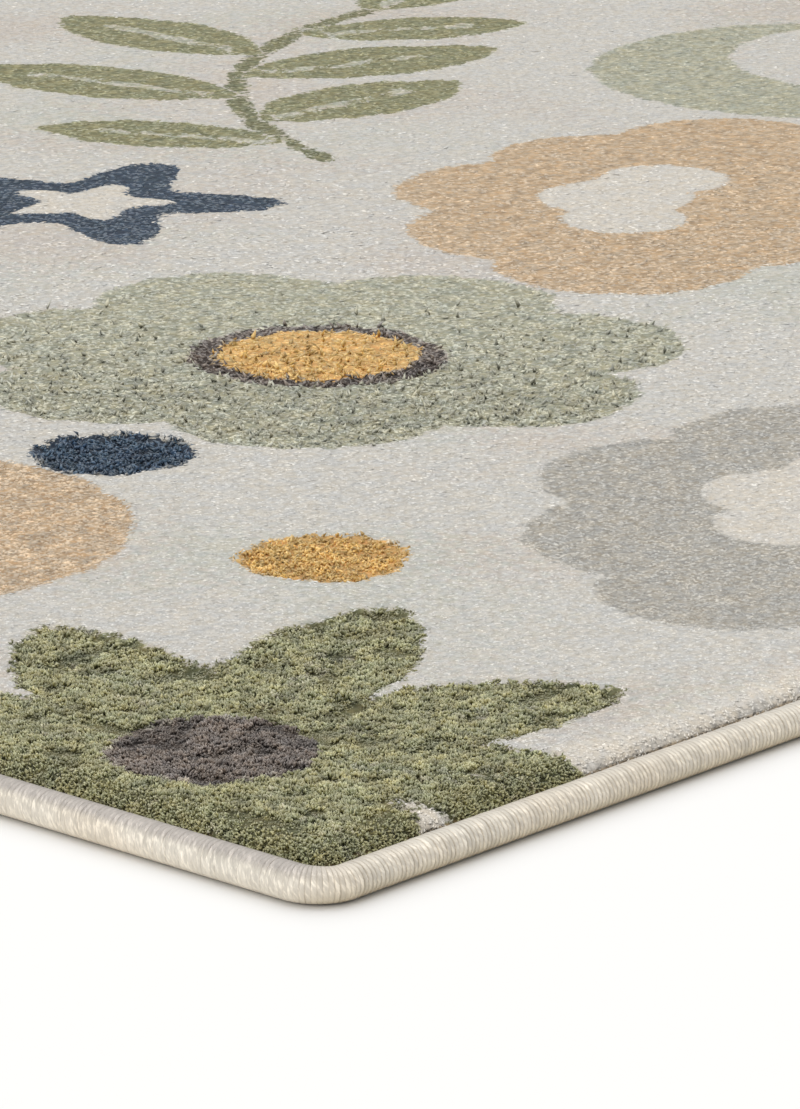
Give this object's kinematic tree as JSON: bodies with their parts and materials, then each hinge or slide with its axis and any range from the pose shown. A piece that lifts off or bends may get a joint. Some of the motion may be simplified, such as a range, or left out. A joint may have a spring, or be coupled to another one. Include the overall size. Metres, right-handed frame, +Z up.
{
  "type": "nursery rug",
  "caption": "Flat rectangular nursery rug with short cut pile and a round serged binding along its whole edge.",
  "frame": {"origin": "on the floor under the middle of the rug", "axes": "+X along the long side, +Y along the short side, +Z up out of the pile"},
  "size_m": [1.7, 1.2, 0.0111],
  "materials": {
    "pile": "cut pile of frieze yarn, cream ground with woven colour areas",
    "binding": "satin serging yarn, close round wraps"
  },
  "bodies": {
    "root": {"pile_carpet": "pile", "edge_binding": "binding"}
  },
  "joints": []
}
